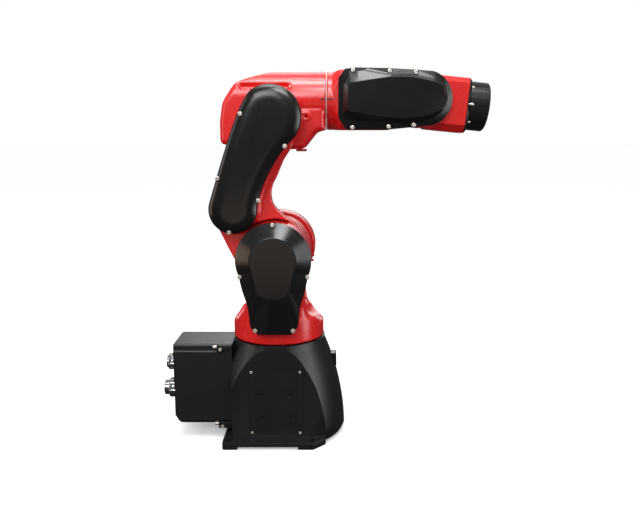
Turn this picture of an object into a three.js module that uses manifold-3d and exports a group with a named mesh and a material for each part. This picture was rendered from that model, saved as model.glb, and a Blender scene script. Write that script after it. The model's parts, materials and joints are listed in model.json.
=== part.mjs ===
// Desktop six-axis robot arm: base, turret, upper arm, elbow, forearm, wrist and tool flange.
// Millimetres, +Z up, +X forward, origin on the mounting plane under the first axis.
import * as THREE from "three";
import { mergeVertices } from "three/addons/utils/BufferGeometryUtils.js";
import Module from "manifold-3d";

const wasm = await Module();
wasm.setup();

// ---------------------------------------------------------------- driving dimensions
const GAP = 0.3; // left between pieces that touch
const BELT_GAP = 0.7; // between a pulley and the inside of its belt
const BELT_THICK = 1.6;
const SHOULDER = [0, 317]; // second axis, as X and Z
const ELBOW = [-4, 542]; // third axis, 225 mm from the shoulder
const FOREARM_AXIS = 570; // height of the fourth axis
const WRIST_AXIS = [239, 570]; // fifth axis
const TOOL_PITCH = THREE.MathUtils.degToRad(5.7); // the hand droops by this much at rest
const SPLIT_LOW = 82.2; // elbow end of the open joint in the forearm
const SPLIT_HIGH = 83.8; // forearm end of the same joint

const BASE_TOP = 170.5;
const BASE_HALF_WIDTH = 79.4;
const BASE_BACK = -76;
const BASE_WALL = 8;
const FOOT_TOP = 11.5;
const FOOT_UNDER = 5;
const FOOT_HOLES_X = [-80, 60];
const FOOT_HOLES_Y = 89;
const FOOT_HOLE_R = 4.5;
const PANEL = [-47, 44.5, 15.5, 131]; // X and Z limits of the side panels
const PANEL_THICK = 2.1;

const TURRET_BOTTOM = 172;
const TURRET_R = 78;
const CHEEK_NEAR = [-90, -48]; // Y limits of the cheek that holds the shoulder drive
const CHEEK_FAR = [57, 92];
const CHEEK_R = 63; // round head of the far cheek
const COVER_R = 61; // round head of the shoulder cover
const HUB_R = 57;
const HUB_Y = [-46.5, 55];

const ARM_Y = [-88, -49.2];
const ELBOW_Y = [-46.5, 45];
const ELBOW_TOP = 618;
const COLLAR_R = 48;
const FORK_Y = [41.5, 50];
const FORK_POCKET = 186; // the wrist swings in front of this plane
const WRIST_HALF_WIDTH = 41;
const WRIST_HALF_HEIGHT = 45;
const TOOL_FACE = 109.3; // from the fifth axis to the face of the tool flange

// ---------------------------------------------------------------- materials
const paint = (color, roughness) => new THREE.MeshStandardMaterial({ color, roughness, metalness: 0 });
const metal = (color, roughness) => new THREE.MeshStandardMaterial({ color, roughness, metalness: 1 });
const RED = () => paint(0xd82424, 0.28);
const BLACK_PAINT = () => paint(0x141414, 0.45);
const BLACK_COVER = () => paint(0x1c1c1c, 0.38);
const CHROME = () => metal(0xd8d8da, 0.12);
const STEEL = () => metal(0x9a9a9c, 0.35);
const ALUMINIUM = () => metal(0xb4b6ba, 0.4);
const BELT = () => paint(0x101010, 0.85);
const MOTOR = () => paint(0x2a2c30, 0.5);

// ---------------------------------------------------------------- outlines, as lists of [a, b]
const turn = (degrees) => THREE.MathUtils.degToRad(degrees);

// Arc of an ellipse, both ends included.
function arc([a, b], radius, from, to, steps, second = radius) {
  return Array.from({ length: steps + 1 }, (_, i) => {
    const angle = turn(from + ((to - from) * i) / steps);
    return [a + radius * Math.cos(angle), b + second * Math.sin(angle)];
  });
}

// Points along a cubic curve, both ends left out.
function bend(start, first, second, end, steps) {
  const vectors = [start, first, second, end].map((p) => new THREE.Vector2(...p));
  const points = new THREE.CubicBezierCurve(...vectors).getPoints(steps);
  return points.slice(1, -1).map((p) => [p.x, p.y]);
}

// Polygon whose corners [a, b, radius] are rounded by arcs.
function rounded(corners, steps = 3) {
  return corners.flatMap(([a, b, radius], i) => {
    if (!radius) return [[a, b]];
    const corner = new THREE.Vector2(a, b);
    const before = new THREE.Vector2(...corners.at(i - 1).slice(0, 2)).sub(corner).normalize();
    const next = corners[(i + 1) % corners.length];
    const after = new THREE.Vector2(...next.slice(0, 2)).sub(corner).normalize();
    const half = Math.acos(before.dot(after)) / 2;
    const reach = radius / Math.tan(half);
    const centre = before.clone().add(after).setLength(radius / Math.sin(half)).add(corner);
    const start = before.clone().multiplyScalar(reach).add(corner).sub(centre);
    const end = after.clone().multiplyScalar(reach).add(corner).sub(centre);
    const sweep = Math.atan2(start.x * end.y - start.y * end.x, start.dot(end));
    return Array.from({ length: steps + 1 }, (_, k) => {
      const p = start.clone().rotateAround(new THREE.Vector2(), (sweep * k) / steps).add(centre);
      return [p.x, p.y];
    });
  });
}

// The same outline, moved outwards by a distance (inwards where negative).
function offset(points, distance) {
  const vectors = points.map((p) => new THREE.Vector2(...p));
  const outward = THREE.ShapeUtils.isClockWise(vectors) ? -1 : 1;
  return vectors.map((p, i) => {
    const before = p.clone().sub(vectors.at(i - 1)).normalize();
    const after = vectors[(i + 1) % vectors.length].clone().sub(p).normalize();
    const along = before.clone().add(after).normalize();
    const stretch = Math.min(1.6, 1 / Math.max(0.4, along.dot(after)));
    return [p.x + along.y * distance * outward * stretch, p.y - along.x * distance * outward * stretch];
  });
}

// Loop of a belt: both round ends and the straight runs between them.
function loop(first, firstR, second, secondR, steps = 6) {
  const away = new THREE.Vector2(second[0] - first[0], second[1] - first[1]);
  const heading = THREE.MathUtils.radToDeg(away.angle());
  const spread = THREE.MathUtils.radToDeg(Math.acos((firstR - secondR) / away.length()));
  const nearEnd = arc(first, firstR, heading + spread, heading + 360 - spread, steps * 2);
  const farEnd = arc(second, secondR, heading - spread, heading + spread, steps);
  return [...nearEnd, ...farEnd];
}

// ---------------------------------------------------------------- solids
const X = new THREE.Vector3(1, 0, 0);
const Y = new THREE.Vector3(0, 1, 0);
const Z = new THREE.Vector3(0, 0, 1);
const BASES = {
  x: new THREE.Matrix4().makeBasis(Y, Z, X),
  y: new THREE.Matrix4().makeBasis(X, Z, Y.clone().negate()),
  z: new THREE.Matrix4(),
};

function solid(geometry) {
  geometry.deleteAttribute("normal");
  geometry.deleteAttribute("uv");
  const merged = mergeVertices(geometry, 1e-4);
  const places = merged.attributes.position.array;
  const corner = (i) => new THREE.Vector3().fromArray(places, i * 3);
  const index = merged.index.array;
  const triangles = [];
  let volume = 0;
  for (let i = 0; i < index.length; i += 3) {
    const [a, b, c] = index.slice(i, i + 3);
    if (a === b || b === c || c === a) continue;
    triangles.push([a, b, c]);
    volume += corner(a).dot(corner(b).cross(corner(c)));
  }
  if (volume < 0) triangles.forEach((t) => t.reverse());
  const vertProperties = new Float32Array(places);
  const triVerts = new Uint32Array(triangles.flat());
  return new wasm.Manifold(new wasm.Mesh({ numProp: 3, vertProperties, triVerts }));
}

const join = (...bodies) => bodies.reduce((all, body) => all.add(body));
const cut = (body, ...tools) => tools.reduce((left, tool) => left.subtract(tool), body);

// Outline pushed along an axis from low to high; a chamfer runs round both end faces.
// Outlines hold X and Z for axis y, Y and Z for axis x, X and Y for axis z.
function prism(points, low, high, axis = "y", chamfer = 0) {
  const shape = new THREE.Shape(points.map((p) => new THREE.Vector2(...p)));
  const geometry = new THREE.ExtrudeGeometry(shape, {
    depth: high - low - 2 * chamfer,
    bevelEnabled: chamfer > 0,
    bevelThickness: chamfer,
    bevelSize: chamfer,
    bevelOffset: -chamfer,
    bevelSegments: 1,
  });
  geometry.translate(0, 0, axis === "y" ? chamfer - high : chamfer + low);
  geometry.applyMatrix4(BASES[axis]);
  return solid(geometry);
}

function block(x, y, z) {
  const geometry = new THREE.BoxGeometry(x[1] - x[0], y[1] - y[0], z[1] - z[0]);
  geometry.translate((x[0] + x[1]) / 2, (y[0] + y[1]) / 2, (z[0] + z[1]) / 2);
  return solid(geometry);
}

// Profile [radius, height] turned about a line along an axis.
function turned(profile, axis, at = [0, 0, 0], segments = 24) {
  const geometry = new THREE.LatheGeometry(profile.map((p) => new THREE.Vector2(...p)), segments);
  if (axis === "z") geometry.rotateX(Math.PI / 2);
  if (axis === "x") geometry.rotateZ(-Math.PI / 2);
  geometry.translate(...at);
  return solid(geometry);
}

const rod = (radius, low, high, axis, at, segments) =>
  turned([[0, low], [radius, low], [radius, high], [0, high]], axis, at, segments);
const ring = (inner, outer, low, high, axis, at, segments) =>
  turned([[inner, low], [outer, low], [outer, high], [inner, high], [inner, low]], axis, at, segments);

// Skin through outlines of equal length that lie at the given Y, closed at both ends.
function loft(sections) {
  const count = sections[0].points.length;
  const places = sections.flatMap(({ points, y }) => points.flatMap(([x, z]) => [x, y, z]));
  const faces = [];
  for (let s = 0; s + 1 < sections.length; s += 1) {
    for (let i = 0; i < count; i += 1) {
      const a = s * count + i;
      const b = s * count + ((i + 1) % count);
      faces.push(a, b, b + count, a, b + count, a + count);
    }
  }
  const cap = (section, first, flip) => {
    const vectors = section.points.map((p) => new THREE.Vector2(...p));
    THREE.ShapeUtils.triangulateShape(vectors, []).forEach(([a, b, c]) => {
      faces.push(...(flip ? [a, b, c] : [c, b, a]).map((i) => i + first));
    });
  };
  cap(sections[0], 0, false);
  cap(sections.at(-1), (sections.length - 1) * count, true);
  const geometry = new THREE.BufferGeometry();
  geometry.setAttribute("position", new THREE.Float32BufferAttribute(places, 3));
  geometry.setIndex(faces);
  return solid(geometry);
}

// Skin through rings of equal length, each a list of [x, y, z], closed by fans at both ends.
function skin(rings) {
  const count = rings[0].length;
  const faces = [];
  for (let s = 0; s + 1 < rings.length; s += 1) {
    for (let i = 0; i < count; i += 1) {
      const a = s * count + i;
      const b = s * count + ((i + 1) % count);
      faces.push(a, b, b + count, a, b + count, a + count);
    }
  }
  for (const [first, flip] of [[0, true], [(rings.length - 1) * count, false]]) {
    const flat = rings[first / count].map(([, y, z]) => new THREE.Vector2(y, z));
    THREE.ShapeUtils.triangulateShape(flat, []).forEach(([a, b, c]) => {
      faces.push(...(flip ? [c, b, a] : [a, b, c]).map((i) => i + first));
    });
  }
  const geometry = new THREE.BufferGeometry();
  geometry.setAttribute("position", new THREE.Float32BufferAttribute(rings.flat(2), 3));
  geometry.setIndex(faces);
  return solid(geometry);
}

const mirrorY = (sections) => sections.map(({ points, y }) => ({ points, y: -y }));

const robot = new THREE.Group();

function add(name, body, material, parent = robot) {
  const { vertProperties, triVerts } = body.getMesh();
  const geometry = new THREE.BufferGeometry();
  geometry.setAttribute("position", new THREE.BufferAttribute(vertProperties, 3));
  geometry.setIndex(new THREE.BufferAttribute(triVerts, 1));
  geometry.computeVertexNormals();
  const mesh = new THREE.Mesh(geometry, material);
  mesh.name = name;
  parent.add(mesh);
}

// A drive: motor, toothed pulleys, belt and flat strain-wave gearbox, all turning about Y.
function beltDrive(prefix, motorAt, motorHalf, motorY, axisAt, wheelY, sizes, parent = robot) {
  const [mx, mz] = motorAt;
  const [ax, az] = axisAt;
  const centre = [mx, 0, mz];
  const face = block([mx - motorHalf, mx + motorHalf], motorY, [mz - motorHalf, mz + motorHalf]);
  const shaft = rod(3.7, wheelY[0], motorY[0] + 1, "y", centre, 12);
  add(`${prefix}_motor`, join(face, shaft), MOTOR(), parent);
  const rim = [wheelY[0], wheelY[1]];
  add(`${prefix}_motor_pulley`, ring(4, sizes.small, ...rim, "y", centre, 16), ALUMINIUM(), parent);
  const wheel = ring(sizes.bore, sizes.large, ...rim, "y", [ax, 0, az], 20);
  add(`${prefix}_drive_pulley`, wheel, ALUMINIUM(), parent);
  const inner = loop(axisAt, sizes.large + BELT_GAP, motorAt, sizes.small + BELT_GAP);
  const back = BELT_GAP + BELT_THICK;
  const outer = loop(axisAt, sizes.large + back, motorAt, sizes.small + back);
  const beltY = [wheelY[0] + 0.6, wheelY[1] - 0.6];
  const slack = [beltY[0] - 1, beltY[1] + 1];
  add(`${prefix}_belt`, cut(prism(outer, ...beltY), prism(inner, ...slack)), BELT(), parent);
}

// ---------------------------------------------------------------- base
// Radius of the round body against height.
const baseCurve = new THREE.SplineCurve(
  [[115, 11], [112, 50], [103, 98], [89, 143], [78, BASE_TOP]].map((p) => new THREE.Vector2(...p)),
);

// The body is round at its top and in front; its back half widens towards the foot.
function baseBody(wall, low, high, grow = 0) {
  const curve = baseCurve.getPoints(14).map((p) => [p.x - wall + grow, p.y]);
  const side = curve.filter((p) => p[1] > low && p[1] < high);
  const top = [side.at(-1)[0], high];
  const start = [side[0][0] - (wall ? 0 : 3), low];
  const geometry = new THREE.LatheGeometry(
    [[0, low], start, ...side, top, [0, high]].map((p) => new THREE.Vector2(...p)),
    64,
  );
  geometry.rotateX(Math.PI / 2);
  const places = geometry.attributes.position;
  for (let i = 0; i < places.count; i += 1) {
    const rear = THREE.MathUtils.clamp(0.5 - places.getX(i) / 100, 0, 1);
    const spread = 0.02 + 0.13 * Math.min(1, (BASE_TOP - places.getZ(i)) / 80);
    places.setY(i, places.getY(i) * (1 + rear * spread));
  }
  return solid(geometry);
}

const baseOuter = baseBody(0, FOOT_UNDER, BASE_TOP);

function baseCasting() {
  const half = BASE_HALF_WIDTH;
  const shell = baseOuter.intersect(block([BASE_BACK, 120], [-half, half], [0, 180]));
  const plan = [[-90, -104, 4], [61, -104, 3], [82, -83, 3], [82, 83, 3], [61, 104, 3], [-90, 104, 4]];
  const foot = prism(rounded(plan), FOOT_UNDER, FOOT_TOP, "z");
  const pads = [[[-95, -65]], [[36, 90]]].flatMap(([x]) =>
    [[-110, -78], [78, 110]].map((y) => block(x, y, [-1, FOOT_UNDER + 1])),
  );
  const padPlan = prism(rounded(plan), 0, FOOT_UNDER + 0.5, "z");
  const rim = prism(rounded([[-72, -74, 6], [78, -74, 6], [78, 74, 6], [-72, 74, 6]]), 0, 9, "z");
  const inside = baseBody(BASE_WALL, 9, 158).intersect(
    block([BASE_BACK + BASE_WALL, 120], [BASE_WALL - half, half - BASE_WALL], [9, 170]),
  );
  const [left, right, low, high] = PANEL;
  const windows = [-1, 1].flatMap((side) => {
    const span = (a, b) => [Math.min(side * a, side * b), Math.max(side * a, side * b)];
    return [
      block([left + 6, right - 6], span(half - 9, half + 1), [low + 6, high - 6]),
      block([left - GAP, right + GAP], span(half - PANEL_THICK - GAP, half + 1), [low - GAP, high + GAP]),
    ];
  });
  const holes = FOOT_HOLES_X.flatMap((x) =>
    [-FOOT_HOLES_Y, FOOT_HOLES_Y].map((y) => rod(FOOT_HOLE_R, -1, 20, "z", [x, y, 0], 16)),
  );
  return cut(
    join(shell, foot, padPlan.intersect(join(...pads)), rim),
    inside,
    rod(52, 150, 180, "z"),
    block([BASE_BACK - 1, BASE_BACK + 10], [-32, 32], [50, 140]),
    block([-60, 66], [-60, 60], [-1, 12]),
    block([-66, 72], [-66, 66], [-1, 3.5]),
    ...windows,
    ...holes,
  );
}

add("base_casting", baseCasting(), BLACK_PAINT());
add("base_bottom_cover", block([-65.7, 71.7], [-65.7, 65.7], [0, 3.2]), STEEL());

function sidePanel(side) {
  const [left, right, low, high] = PANEL;
  const outer = side * BASE_HALF_WIDTH;
  const inner = side * (BASE_HALF_WIDTH - PANEL_THICK);
  const y = [Math.min(outer, inner), Math.max(outer, inner)];
  const plate = block([left, right], y, [low, high]);
  const holes = [-25, 22].flatMap((x) => [47.8, 88].map((z) => rod(1.6, -90, 90, "y", [x, 0, z], 12)));
  return cut(plate, ...holes);
}

add("side_panel_near", sidePanel(-1), BLACK_PAINT());
add("side_panel_far", sidePanel(1), BLACK_PAINT());

// ---------------------------------------------------------------- connector box behind the base
const BOX_BACK = -174;
const BOX_FRONT = BASE_BACK - GAP;
const BOX_SECTION = [
  [-48, 24], [48, 24], [55, 31], [55, 146], [50, 153], [26, 165], [-50, 166], [-52.7, 163.5], [-53, 155],
  [-55, 153], [-55, 31],
];
const BOX_ROOM = [
  [-47, 28], [47, 28], [51, 33], [51, 144], [47, 150], [24, 161], [-49, 162], [-49, 153], [-51, 150],
  [-51, 33],
];
const BOX_END_WALL = 6;
const BOX_HEEL = [[-185, 10], [-185, 37], [BOX_BACK, 37], [-168, 26], [-168, 10]]; // cut under the back edge
const POWER_PORT = [70, 12];
const SIGNAL_PORT = [118, 10];

const portHole = ([z, r]) => rod(r + GAP, -190, -160, "x", [0, 0, z], 24);
const portHoles = () => [POWER_PORT, SIGNAL_PORT].map(portHole);

function connectorBox() {
  const inner = prism(BOX_ROOM, BOX_BACK + BOX_END_WALL, BOX_FRONT + 1, "x");
  return cut(prism(BOX_SECTION, BOX_BACK, BOX_FRONT, "x"), inner, prism(BOX_HEEL, -60, 60), ...portHoles());
}

function connectorPlate() {
  const plate = prism(offset(BOX_SECTION, -1), BOX_BACK - 2.3, BOX_BACK - GAP, "x");
  return cut(plate, block([-190, -160], [-60, 60], [20, 38]), ...portHoles());
}

// Round panel connector: body through the plate, flange, barrel and end socket.
function connector([z, r], flange, length) {
  const face = BOX_BACK - 2.3 - GAP;
  const end = face - length;
  const profile = [
    [0, -165], [r, -165], [r, face], [flange, face], [flange, face - 4],
    [r + 1, face - 4], [r + 1, end], [r - 2, end], [r - 2, end + 9], [0, end + 9],
  ];
  return turned(profile, "x", [0, 0, z], 24);
}

const POWER_RING = [-203, -184];
const SIGNAL_RING = [-197.5, -184];
add("connector_box", connectorBox(), BLACK_PAINT());
add("connector_plate", connectorPlate(), BLACK_PAINT());
add("power_connector", connector(POWER_PORT, 19, 28), CHROME());
add("power_connector_ring", ring(13.3, 18, ...POWER_RING, "x", [0, 0, 70], 24), CHROME());
add("signal_connector", connector(SIGNAL_PORT, 15.5, 22.6), CHROME());
add("signal_connector_ring", ring(11.3, 14.5, ...SIGNAL_RING, "x", [0, 0, 118], 24), CHROME());
add("terminal_board", block([-150, -147.5], [-42, 42], [42, 140]), paint(0x1d5c34, 0.6));

const portSide = rounded([[82, 111, 2], [101, 111, 4], [100.5, 137, 2], [82, 137, 2]]);
const portBlock = prism(portSide, -9, 9, "y", 1);
add("front_port", cut(portBlock, baseBody(0, FOOT_UNDER, BASE_TOP, GAP)), BLACK_COVER());

// ---------------------------------------------------------------- first axis drive, inside the base
const J1_MOTOR_X = -44;
const J1_WHEEL = [121, 130];
const j1Motor = join(
  block([J1_MOTOR_X - 21, J1_MOTOR_X + 21], [-21, 21], [45, 115]),
  rod(3.7, 114, J1_WHEEL[1], "z", [J1_MOTOR_X, 0, 0], 12),
);
const j1Case = [
  [14, 133], [49, 133], [49, 160], [51.5, 160], [51.5, 168], [40, 168], [40, 171.7], [14, 171.7], [14, 133],
];
const j1Outer = loop([0, 0], 20 + BELT_GAP + BELT_THICK, [J1_MOTOR_X, 0], 11 + BELT_GAP + BELT_THICK);
const j1Inner = loop([0, 0], 20 + BELT_GAP, [J1_MOTOR_X, 0], 11 + BELT_GAP);
add("j1_motor", j1Motor, MOTOR());
add("j1_motor_pulley", ring(4, 11, ...J1_WHEEL, "z", [J1_MOTOR_X, 0, 0], 16), ALUMINIUM());
add("j1_drive_pulley", ring(14, 20, ...J1_WHEEL, "z", [0, 0, 0], 20), ALUMINIUM());
add("j1_belt", cut(prism(j1Outer, 122, 129, "z"), prism(j1Inner, 120, 131, "z")), BELT());
add("j1_gearbox", turned(j1Case, "z"), STEEL());
add("cable_conduit", ring(10, 12.5, 60, 187, "z", [0, 0, 0], 16), paint(0x303030, 0.6));

// ---------------------------------------------------------------- turret
const COVER_X = -1.5; // the shoulder casing stands this far behind the axis
const NECK = [[50.8, 269.5], [45.7, 253], [42.2, 240], [40.4, 226], [39.3, 214], [37.6, 206.3], [27, 195]];

// Outline of the shoulder casing: a round head on a tapering neck.
function shoulderOutline(radius, x = COVER_X) {
  const left = NECK.map(([half, z]) => [x - half, z]);
  const right = NECK.map(([half, z]) => [x + half, z]).reverse();
  return [...arc([x, SHOULDER[1]], radius, -24, 204, 32), ...left, ...right];
}

// The saddle between the cheeks: low and round at its mouths, with a fuller far wall at the back.
function valley() {
  const near = [[-48, 300], [-48, 262], [-47, 240], [-44, 222], [-38, 211], [-29, 204], [-18, 200]];
  const front = [[22, 199], [35, 202], [46, 208], [53, 216], [56, 228], [57, 245], [57, 300]];
  const back = [[-4, 199], [12, 202.5], [26, 208], [38, 217], [49, 231], [57, 251], [57, 300]];
  const section = (x, far) => [...near, ...far].map(([y, z]) => [x, y, z]);
  const rings = [section(-90, back), section(-30, back), section(30, front), section(90, front)];
  return skin(rings);
}

// How the feet of the cheeks run out into the collar, as X and Z: in front of each cheek, and behind both.
const NEAR_FLARE = [
  [78, 199.5], [71, 202.5], [64.7, 205.5], [59.5, 208.5], [55.8, 212], [52, 219], [49.3, 228], [48, 240],
  [48, 253], [48.8, 263], [50, 276], [52, 292],
];
const FAR_FLARE = [
  [78, 199], [70, 201.5], [65, 204], [60.5, 207], [56.5, 210.5], [53, 214.5], [50, 221], [48.5, 230],
  [47, 240], [47.5, 253], [50, 270], [53, 292],
];
const BACK_FLARE = [
  [78, 199], [76.5, 205], [72, 210], [66, 214.5], [60, 219.5], [54.5, 226], [51, 234], [49, 243], [48, 254],
  [49, 266], [52, 280], [54, 292],
];

function turretCasting() {
  const collar = rod(TURRET_R, TURRET_BOTTOM, 215, "z", [0, 0, 0], 72);
  const nearCheek = prism(offset(shoulderOutline(COVER_R), -1), ...CHEEK_NEAR);
  const farCheek = prism(shoulderOutline(CHEEK_R, 0), 64, CHEEK_FAR[1]);
  const farRim = turned(
    [[0, 61], [58.6, 61], [58.6, 57.4], [60, 57], [CHEEK_R, 65], [CHEEK_R, 66], [0, 66]],
    "y",
    [0, 0, SHOULDER[1]],
    64,
  );
  const back = BACK_FLARE.map(([x, z]) => [-x, z]).reverse();
  const round = rod(TURRET_R, 180, 300, "z", [0, 0, 0], 72);
  const nearRoot = prism([...NEAR_FLARE, ...back], -74, CHEEK_NEAR[1] + 30);
  const farRoot = prism([...FAR_FLARE, ...back], 20, 78);
  const roots = join(nearRoot, farRoot).intersect(round);
  const nearRoom = offset(shoulderOutline(COVER_R), -7);
  const farRoom = offset(shoulderOutline(CHEEK_R, 0), -8).map(([x, z]) => [x, Math.max(z, 216)]);
  return cut(
    join(cut(join(collar, roots, nearCheek), valley()), farCheek, farRim),
    prism(nearRoom, -95, -56),
    prism(farRoom, 74, 95),
    rod(58, 181, 190, "z"),
    rod(20, 170, 190, "z"),
    rod(30.4, -60, -40, "y", [0, 0, SHOULDER[1]]),
    rod(24, 59, 80, "y", [0, 0, SHOULDER[1]], 20),
    rod(19, 50, 70, "y", [0, 0, SHOULDER[1]], 20),
  );
}

// Flat front of the shoulder cover, point for point with the casing's outline.
const SHOULDER_FLAT = [
  ...arc([-1.8, 318], 37.4, -24, 204, 32),
  [-32.5, 287], [-30.5, 278], [-29, 271], [-28, 267], [-26, 263], [-20, 259], [-8, 255.5],
  [4.5, 255.5], [16.5, 259], [22, 263], [24, 267], [25, 271], [26.5, 278], [28.5, 287],
];

function shoulderCover() {
  const rim = shoulderOutline(COVER_R);
  const outside = [
    { points: rim, y: -90.3 },
    { points: rim, y: -94.5 },
    { points: SHOULDER_FLAT, y: -108 },
  ];
  const inside = [
    { points: offset(rim, -4), y: -89 },
    { points: offset(rim, -4), y: -93.5 },
    { points: offset(SHOULDER_FLAT, -1), y: -105 },
  ];
  return cut(loft(outside), loft(inside));
}

const farLid = prism(shoulderOutline(CHEEK_R - 2, 0), CHEEK_FAR[1] + GAP, 97, "y", 1.5);
add("turret_casting", turretCasting(), RED());
add("shoulder_cover", shoulderCover(), BLACK_COVER());
add("far_shoulder_cover", farLid, BLACK_COVER());
add("shoulder_bearing", ring(16, 23.7, 59.3, 71.7, "y", [0, 0, SHOULDER[1]], 20), STEEL());

const shoulderWheels = { small: 11, large: 24, bore: 10 };
beltDrive("j2", [0, 238], 20, [-86, -56.3], SHOULDER, [-97, -89], shoulderWheels);
const j2Case = [[0, -97], [9.7, -97], [9.7, -84], [40, -84], [40, -56.3], [30, -56.3], [30, -24], [0, -24]];
add("j2_gearbox", turned(j2Case, "y", [0, 0, SHOULDER[1]]), STEEL());

// ---------------------------------------------------------------- upper arm
// Outline of the arm's cover: a large round end at the elbow, a smaller one below, a hollow front edge.
const armOutline = [
  ...arc(ELBOW, 49, -48, 122, 20),
  ...bend([-30, 583.6], [-48.7, 572.9], [-70.7, 505], [-100.7, 409.6], 9),
  ...arc([-64, 398], 38.5, 162, 364, 20),
  ...bend([-25.6, 400.7], [-22.7, 430.9], [7.1, 486.1], [28.8, 505.6], 9),
];
// Front edge of the arm's thin back plate, from the elbow down to the hub.
const armFrontEdge = [
  [32, 503], [24.5, 489.5], [15, 475], [9, 461], [3, 446.5], [-2, 438], [-4.7, 428.5], [-6, 418.5],
  [-5.7, 410], [-2.5, 402.5], [3.5, 394.5], [13.5, 384.5], [24.5, 376],
];
const FAN_STEPS = 9;
const fanFront = [
  [-34, 438], [-14, 437], [-7, 428], [-6, 418.5], [-5.7, 410], [-2.5, 402.5], [3.5, 394.5], [13.5, 384.5],
  [24.5, 376], [33, 366],
];
const fanBack = [[-57, 298], [-70, 311], [-84, 339], [-97, 366], [-101, 395], [-91, 430]];
// Y of each rib of the fan, how far its back has sunk onto the hub, and how far its front has.
const FAN_RIBS = [
  [-46.5, 0, 0], [-40, 0.06, 0.06], [-33, 0.14, 0.2], [-25, 0.25, 0.27], [-16, 0.38, 0.47], [-6, 0.54, 0.57],
  [6, 0.7, 0.77], [22, 0.86, 0.88], [40, 1, 1],
];

const blend = (from, to, part) => from.map((p, i) => [0, 1].map((k) => p[k] + (to[i][k] - p[k]) * part));

// The fan that spreads from the arm's back plate over the hub.
function armFan() {
  const hubFront = arc(SHOULDER, HUB_R - 1, 128, 38, FAN_STEPS);
  const hubBack = arc(SHOULDER, HUB_R - 1, 200, 142, fanBack.length - 1);
  const rib = (back, front) => [
    ...blend(fanFront, hubFront, front), [25, 320], [-25, 305], ...blend(fanBack, hubBack, back),
  ];
  return loft(FAN_RIBS.map(([y, back, front]) => ({ points: rib(back, front).reverse(), y })));
}

function upperArmCasting() {
  const nearFlange = prism(armOutline, ARM_Y[0], -80);
  const recess = prism(offset(armOutline, -1), -81, -61);
  const backPlate = prism(offset(armOutline, 0.5), -62, ARM_Y[1]);
  const wing = prism([...armFrontEdge, [0, 374], [-50, 374], [-50, 470], [0, 525]], -62, ARM_Y[1]);
  const hub = turned(
    [[0, HUB_Y[0]], [HUB_R, HUB_Y[0]], [HUB_R, HUB_Y[1]], [0, HUB_Y[1]]],
    "y",
    [0, 0, SHOULDER[1]],
    64,
  );
  const neck = prism([...fanFront, [0, 374], [-50, 362], [-98, 380], [-101, 400], [-91, 430]], -51, -45);
  const keepClear = rod(63.2, -95, HUB_Y[0], "y", [0, 0, SHOULDER[1]], 64);
  const plates = cut(join(nearFlange, recess, backPlate, wing, neck), keepClear);
  return cut(
    join(plates, hub, armFan(), rod(15.6, 50, 74, "y", [0, 0, SHOULDER[1]], 20)),
    prism(offset(armOutline, -4.5), -95, -55),
    rod(31, -50, -23, "y", [0, 0, SHOULDER[1]]),
    rod(27.4, -60, -40, "y", [ELBOW[0], 0, ELBOW[1]]),
  );
}

// Inset from the outline and Y of each ring of the pillow-shaped cover.
const ARM_DOME = [[0, -88.3], [0, -92.2], [3, -94.2], [8, -96.9], [15, -99.2], [23, -100.5]];

function upperArmCover() {
  const ringAt = ([inset, y]) => ({ points: offset(armOutline, -inset), y });
  const outside = ARM_DOME.map(ringAt);
  const inside = ARM_DOME.slice(1).map(([inset, y]) => ringAt([inset + 4, y + 2.2]));
  return cut(loft(outside), loft([ringAt([4, -87]), ...inside]));
}

add("upper_arm_casting", upperArmCasting(), RED());
add("upper_arm_cover", upperArmCover(), BLACK_COVER());
const elbowWheels = { small: 10, large: 20, bore: 8 };
beltDrive("j3", [-62, 402], 19, [-84, -55.3], ELBOW, [-94, -87], elbowWheels);
const j3Case = [[0, -94], [7.7, -94], [7.7, -82], [36, -82], [36, -55.3], [27, -55.3], [27, -24], [0, -24]];
add("j3_gearbox", turned(j3Case, "y", [ELBOW[0], 0, ELBOW[1]]), STEEL());

// ---------------------------------------------------------------- elbow
const elbowOutline = rounded([
  [SPLIT_LOW, ELBOW_TOP, 0], [-9, 616.5, 60], [-61, 600, 44], [-84, 566, 40], [-88.5, 536, 30],
  [-88.5, 499, 8], [10, 490.5, 20], [47, 491.5, 10], [68, 518, 14], [SPLIT_LOW, 522, 0],
], 7);
// Slot beside the arm's round end, as Y and Z.
const elbowSlot = [[-50, 596], [-40, 596], [-37, 587], [-37, 585.5], [-50, 585.5]];
const LUG_SCREW = [50, 543];

function elbowCasting() {
  const body = prism(elbowOutline, ...ELBOW_Y, "y", 6);
  const [near, far] = ELBOW_Y;
  const section = prism(
    rounded([[near, 480, 0], [far, 480, 0], [far, ELBOW_TOP, 43], [near, ELBOW_TOP, 43]], 12), -100, 90, "x",
  );
  const collar = rod(COLLAR_R, 26, SPLIT_LOW, "x", [0, 0, FOREARM_AXIS], 64);
  const head = rod(47, near, 0, "y", [ELBOW[0], 0, ELBOW[1]], 48);
  const lugPlan = rounded([
    [40, 537, 0], [53, 537, 4], [57.5, 541, 3], [57.5, 546, 3], [53, 550, 4], [40, 550, 0],
  ]);
  const bosses = [
    block([43, 52], [-6, 6], [610, 620.6]),
    block([64, 68], [-4, 4], [610, 619.8]),
  ];
  return cut(
    join(body.intersect(section), collar, head, prism(lugPlan, near - 1.2, -30), ...bosses),
    prism(elbowSlot, -56, 25, "x"),
    block([-62, 55.5], [-20.5, 36], [512, 588]),
    rod(34, 50, 90, "x", [0, 0, FOREARM_AXIS]),
    rod(28, -50, -20, "y", [ELBOW[0], 0, ELBOW[1]]),
    block([-50, 42], [30, 50], [518, 580]),
    block([-56, 48], [42, 50], [512, 586]),
    rod(2.4, -50, -36, "y", [LUG_SCREW[0], 0, LUG_SCREW[1]], 12),
  );
}

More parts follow.
